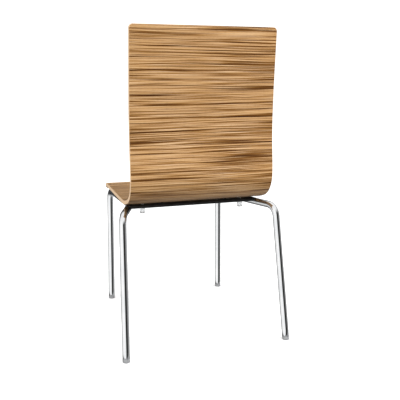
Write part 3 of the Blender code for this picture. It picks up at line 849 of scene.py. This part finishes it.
# The dome's height as a share of the head's, and the power of its curve: the lower, the fuller.
DOME_HEIGHT_SHARE = 0.55
DOME_POWER = 0.8
SOCKET_HALF_WIDTH = 0.0019
SOCKET_DEPTH = 0.0020
SOCKET_MOUTH_DEPTH = 0.0002
SOCKET_TIP_RADIUS = 0.0004
SOCKET_TIP_DEPTH = 0.0003
# How much wider than the socket its mouth and the flat land round it are.
SOCKET_MOUTH_SHARE = 1.06
SOCKET_LAND_SHARE = 1.35
HOLE_CLEARANCE = 0.0004
WASHER_RADIUS = 0.0080
WASHER_EASE = 0.0003
SPACER_RADIUS = 0.0100
SPACER_EASE = 0.0005


def eased_ring(inner, outer, bottom, top, ease):
    """The closed section of a flat ring, down, in, up and out again, with a quarter turn of radius
    ease at each of its four corners."""
    inner, outer, bottom, top = inner + ease, outer - ease, bottom + ease, top - ease
    corners = ((outer, top, 0), (outer, bottom, -90), (inner, bottom, 180), (inner, top, 90))
    turns = [quarter((across, up), ease, start, 5)[::-1] for across, up, start in corners]
    return np.concatenate(turns)


def screw_surface(tip, head_top, centre, steps=48):
    """Shank, pan head and six-sided socket. The dome's radius is land + (head - land) * cos(a)^power.
    The socket's radius is swollen by 1 / cos(angle from the middle of the nearest flat)."""
    angle = np.arange(steps) * 2 * np.pi / steps
    hexagon = 1 / np.cos((angle + np.pi / 6) % (np.pi / 3) - np.pi / 6)
    head_bottom = head_top - SCREW_HEAD_HEIGHT
    turn = np.linspace(0, np.pi / 2, 9)
    land = SOCKET_HALF_WIDTH * SOCKET_LAND_SHARE
    dome = np.stack([
        land + (SCREW_HEAD_RADIUS - land) * np.cos(turn) ** DOME_POWER,
        head_bottom + SCREW_HEAD_HEIGHT * DOME_HEIGHT_SHARE * (1 - np.sin(turn)),
    ], 1)
    shank = [
        (SCREW_TIP_RADIUS, tip), (SCREW_POINT_RADIUS, tip),
        (SCREW_SHANK_RADIUS, tip - SCREW_CHAMFER), (SCREW_SHANK_RADIUS, head_top),
    ]
    head = [
        (SCREW_HEAD_RADIUS - SCREW_HEAD_EASE, head_top),
        (SCREW_HEAD_RADIUS, head_top - SCREW_HEAD_EASE),
    ]
    socket_top = head_bottom + SOCKET_DEPTH
    socket = [
        (SOCKET_HALF_WIDTH * SOCKET_MOUTH_SHARE, head_bottom),
        (SOCKET_HALF_WIDTH, head_bottom + SOCKET_MOUTH_DEPTH),
        (SOCKET_HALF_WIDTH, socket_top), (SOCKET_TIP_RADIUS, socket_top + SOCKET_TIP_DEPTH),
    ]
    profile = np.concatenate([shank, head, dome, socket])
    six_sided = np.arange(len(profile))[:, None] >= len(profile) - len(socket)
    return turned(profile, centre, steps, np.where(six_sided, hexagon, 1.0))


def zinc_plate():
    """Bright zinc: blotched grey with a faint blue and yellow cast, and a brushed fine grain."""
    zinc = Finish("zinc_plate", Metallic=1.0)
    blotch = zinc.noise(zinc.place(), 420, 3, 0.6)
    grain = zinc.noise(zinc.place((1, 1, 8)), 900, 2)
    color = zinc.ramp(blotch, (
        (0.3, (0.50, 0.52, 0.56)), (0.55, (0.66, 0.67, 0.67)), (0.75, (0.70, 0.68, 0.60)),
    ))
    return zinc.paint(
        Base_Color=color,
        Roughness=zinc.span(blotch, 0.3, 0.7, 0.24, 0.40),
        Normal=zinc.bump(grain, 0.0001, 0.3),
    )


def black_rubber():
    """Black rubber: dull, greyed by bloom in patches, with the fine pitting of its mould."""
    rubber = Finish("black_rubber", Specular_IOR_Level=0.3)
    bloom = rubber.noise(rubber.place(), 260, 4, 0.65)
    pits = rubber.noise(rubber.place(), 2200, 2)
    color = rubber.ramp(bloom, ((0.35, (0.012, 0.012, 0.012)), (0.75, (0.045, 0.044, 0.042))))
    return rubber.paint(
        Base_Color=color,
        Roughness=rubber.span(bloom, 0.3, 0.7, 0.70, 0.88),
        Normal=rubber.bump(pits, 0.0001, 0.5),
    )


zinc, rubber = zinc_plate(), black_rubber()
clear_hole = SCREW_RADIUS + HOLE_CLEARANCE
for end in rails:
    for label, side in sides:
        place = f"{end}_{label}"
        x, y, _ = middle_of(f"screw_{place}")
        centre = (x, y, 0)
        low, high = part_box(f"washer_{place}")
        washer = turned(eased_ring(clear_hole, WASHER_RADIUS, low.z, high.z, WASHER_EASE), centre)
        put_ring(f"plated_washer_{place}", washer, zinc, [f"washer_{place}"])
        low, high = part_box(f"rubber_spacer_{place}")
        spacer = turned(eased_ring(clear_hole, SPACER_RADIUS, low.z, high.z, SPACER_EASE), centre)
        put_ring(f"moulded_spacer_{place}", spacer, rubber, [f"rubber_spacer_{place}"])
        low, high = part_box(f"screw_{place}")
        screw = screw_surface(high.z, low.z + SCREW_HEAD_HEIGHT, centre)
        put_solid(f"plated_screw_{place}", screw, zinc, [f"screw_{place}"])
        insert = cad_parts[f"threaded_insert_{place}"]
        insert.data.materials.clear()
        insert.data.materials.append(zinc)

# --- Foot caps ---------------
# Grey plastic plugs pushed into the tube ends, with a head of the tube's own width, a groove
# under the tube and a rounded sole that lies flat on the floor.

CAP_PLUG_LENGTH = 0.0180
CAP_PLUG_WALL = 0.0020
CAP_ROUNDING = 0.0022
CAP_FLOOR_RADIUS = 0.0005
# The shallow dish in the sole: (radius, height).
CAP_DISH = ((0.0020, 0.0004), (0.0060, 0.0004), (0.0066, 0.0))
# The head's side up to the groove: (in from the tube's radius, height).
CAP_SIDE = ((0.0, 0.0060), (0.0001, 0.0084), (0.0004, 0.0090), (0.0008, CAP_HEAD_HEIGHT))
# The taper at the plug's end: (in, down).
CAP_LEAD_IN = (0.0008, 0.0015)


def cap_profile():
    """The cap's section along its leg: sole, rounded edge, head, plug and the plug's hollow."""
    plug = TUBE_RADIUS - TUBE_WALL - TOUCH
    bore = plug - CAP_PLUG_WALL
    top = CAP_HEAD_HEIGHT + CAP_PLUG_LENGTH
    head = TUBE_RADIUS - POLISHED_AWAY
    round_edge = quarter((head - CAP_ROUNDING, CAP_ROUNDING), CAP_ROUNDING, -90, 8)
    side = [(head - inward, height) for inward, height in CAP_SIDE]
    hollow_plug = [
        (plug, CAP_HEAD_HEIGHT), (plug, top - CAP_LEAD_IN[1]), (plug - CAP_LEAD_IN[0], top),
        (bore, top), (bore, CAP_HEAD_HEIGHT), (CAP_FLOOR_RADIUS, CAP_HEAD_HEIGHT),
    ]
    return np.concatenate([CAP_DISH, round_edge, side, hollow_plug])


def cap_surface(foot, up_leg):
    """The turned cap leant along its leg: x * across + y * forward + height * up_leg. Its lower half
    is then slid along the leg until each ring is level."""
    across = unit(np.cross((0, 1, 0), up_leg))
    forward = np.cross(up_leg, across)
    upright = turned(cap_profile(), (0, 0, 0), steps=48)
    height = upright[..., 2:]
    leant = upright[..., :1] * across + upright[..., 1:2] * forward + height * up_leg
    slide = np.where(height < CAP_HEAD_HEIGHT / 2, (leant[..., 2:] - height) / up_leg[2], 0.0)
    return foot + leant - slide * up_leg


def grey_plastic():
    """Moulded grey nylon: faint flow marks in the colour, a dull skin, and lighter scuffs in patches
    drawn out up and down.
    """
    plastic = Finish("grey_nylon", Specular_IOR_Level=0.45)
    flow = plastic.noise(plastic.place(), 140, 3)
    skin = plastic.noise(plastic.place(), 1800, 2)
    scuffs = plastic.noise(plastic.place((1, 1, 0.4)), 700, 3, 0.7)
    color = plastic.ramp(flow, ((0.3, (0.20, 0.205, 0.21)), (0.7, (0.27, 0.275, 0.28))))
    worn = plastic.span(scuffs, 0.56, 0.64)
    color = plastic.mix(worn, color, (0.40, 0.40, 0.39))
    return plastic.paint(
        Base_Color=color,
        Roughness=plastic.span(scuffs, 0.3, 0.7, 0.42, 0.60),
        Normal=plastic.bump(skin, 0.0001, 0.35),
    )


nylon = grey_plastic()
for label, side in sides:
    for end, foot, next_corner in (("rear", 0, 1), ("front", -1, -2)):
        at, above = left_corners[foot] * (side, 1, 1), left_corners[next_corner] * (side, 1, 1)
        cap = cap_surface(at, unit(above - at))
        put_solid(f"grey_cap_{end}_{label}", cap, nylon, [f"foot_cap_{end}_{label}"])

# --- Studio ------------------
# A white paper floor in a white room. Large soft lights stand behind the chair on both sides, and
# grey and black screens round the room give the chrome its dark lines.

FLOOR_HALF = 12.0
WHITE = (1.0, 1.0, 1.0)
# The screens round the room: (bearing in degrees from +X towards +Y, brightness).
SCREENS = (
    (-180, 0.46), (-160, 0.60), (-140, 0.66), (-128, 0.50), (-118, 0.20), (-80, 0.12), (-62, 0.16),
    (-50, 0.30), (-38, 0.60), (-24, 0.92), (30, 1.10), (80, 1.00), (89, 0.02), (126, 0.02),
    (140, 0.10), (160, 0.30),
)
# The heights, in a direction one unit long, where the screens begin and end giving way to the ceiling.
CEILING_RISE = (0.45, 0.80)
# The heights between which the room's light rises from its strength below to its strength above.
HORIZON = (-0.15, 0.10)
HORIZON_STRENGTHS = (0.60, 1.12)
BACKDROP_STRENGTH = 1.2
SKY_ANGLE = np.radians(60)


def put_floor():
    """A level sheet of white paper, wide enough to reach past the view. Only the camera sees it, so it
    throws no light up at the chair."""
    mesh = bpy.data.meshes.new("paper_floor")
    corner = np.array([(-1, -1, 0), (1, -1, 0), (1, 1, 0), (-1, 1, 0)]) * FLOOR_HALF
    mesh.from_pydata(corner.tolist(), [], [(0, 1, 2, 3)])
    paper = Finish("white_paper", Specular_IOR_Level=0.0)
    cloud = paper.noise(paper.place(), 2.0, 2)
    color = paper.ramp(cloud, ((0.3, (0.93, 0.93, 0.93)), (0.7, (0.95, 0.95, 0.95))))
    mesh.materials.append(paper.paint(Base_Color=color, Roughness=0.9))
    floor = bpy.data.objects.new("paper_floor", mesh)
    bpy.context.scene.collection.objects.link(floor)
    floor.visible_glossy = False
    floor.visible_diffuse = False


def put_room():
    """The room's light. Mirror reflections see the screens by their bearing, atan2(y, x), with a white
    ceiling over them. All other light is plain white, weaker from below than from above, and the
    camera sees a plain white backdrop."""
    world = bpy.data.worlds.new("white_room")
    bpy.context.scene.world = world
    world.use_nodes = True
    room = Nodes(world.node_tree)
    room.tree.nodes.clear()
    x, y, z = room.parts(room.node("TexCoord", output="Generated"))
    bearing = room.span(room.math("ARCTAN2", y, x), -np.pi, np.pi)
    screens = room.ramp(bearing, [((degrees + 180) / 360, grey) for degrees, grey in SCREENS])
    mirrored = room.mix(room.span(z, *CEILING_RISE), screens, WHITE)
    mirrored = room.node("Background", {"Color": mirrored, "Strength": 1.0})
    strength = room.span(z, *HORIZON, *HORIZON_STRENGTHS)
    plain = room.node("Background", {"Color": (*WHITE, 1), "Strength": strength})
    backdrop = room.node("Background", {"Color": (*WHITE, 1), "Strength": BACKDROP_STRENGTH})
    is_mirrored = room.node("LightPath", output="Is Glossy Ray")
    is_camera = room.node("LightPath", output="Is Camera Ray")
    around = room.node("MixShader", {0: is_mirrored, 1: plain, 2: mirrored})
    seen = room.node("MixShader", {0: is_camera, 1: around, 2: backdrop})
    room.join(seen, room.tree.nodes.new("ShaderNodeOutputWorld").inputs[0])


def put_light(name, place, aim, width, power, color=WHITE):
    """A square softbox of this width, turned to face a point."""
    light = bpy.data.lights.new(name, "AREA")
    light.size, light.energy, light.color = width, power, color
    lamp = bpy.data.objects.new(name, light)
    lamp.location = place
    lamp.rotation_mode = "QUATERNION"
    lamp.rotation_quaternion = (Vector(aim) - Vector(place)).to_track_quat("-Z", "Y")
    lamp.visible_glossy = False
    bpy.context.scene.collection.objects.link(lamp)


def put_sky_light(place, strength):
    """A very soft light from far above, so that the floor is evenly white."""
    light = bpy.data.lights.new("sky_light", "SUN")
    light.energy, light.angle = strength, SKY_ANGLE
    lamp = bpy.data.objects.new("sky_light", light)
    lamp.rotation_mode = "QUATERNION"
    lamp.rotation_quaternion = (-Vector(place)).to_track_quat("-Z", "Y")
    lamp.visible_glossy = False
    bpy.context.scene.collection.objects.link(lamp)


CAMERA_PLACE = (0.5268, 1.8620, 0.7927)
CAMERA_RIGHT = (-0.95382, 0.30035, -0.00344)
CAMERA_UP = (-0.04583, -0.13422, 0.98989)
CAMERA_BACK = (0.29685, 0.94434, 0.14179)
CAMERA_LENS = 52.915
CAMERA_SENSOR_WIDTH = 36.0
CAMERA_SHIFT_UP = -0.08


def put_camera():
    """A camera behind the chair and a little to its left, turned to the axes given above."""
    camera = bpy.data.cameras.new("camera")
    camera.lens = CAMERA_LENS
    camera.sensor_width = CAMERA_SENSOR_WIDTH
    camera.shift_y = CAMERA_SHIFT_UP
    eye = bpy.data.objects.new("camera", camera)
    bpy.context.scene.collection.objects.link(eye)
    turn = np.array([CAMERA_RIGHT, CAMERA_UP, CAMERA_BACK]).T
    matrix = np.eye(4)
    matrix[:3, :3], matrix[:3, 3] = turn, CAMERA_PLACE
    eye.matrix_world = Matrix(matrix.tolist())
    bpy.context.scene.camera = eye


put_floor()
put_room()
put_light("key_softbox", (-1.35, 1.25, 1.75), (-0.2, 0.2, 0.95), 0.9, 26, (1.0, 0.96, 0.99))
put_light("rear_softbox", (-1.2, 3.1, 0.8), (-0.1, 0.2, 0.65), 1.2, 22, (1.0, 0.97, 0.985))
put_light("edge_softbox", (2.4, 0.9, 1.2), (0.2, 0.1, 0.6), 1.2, 30)
put_sky_light((-0.3, 0.5, 1.0), 1.25)
put_camera()
bpy.context.scene.view_settings.view_transform = "Standard"
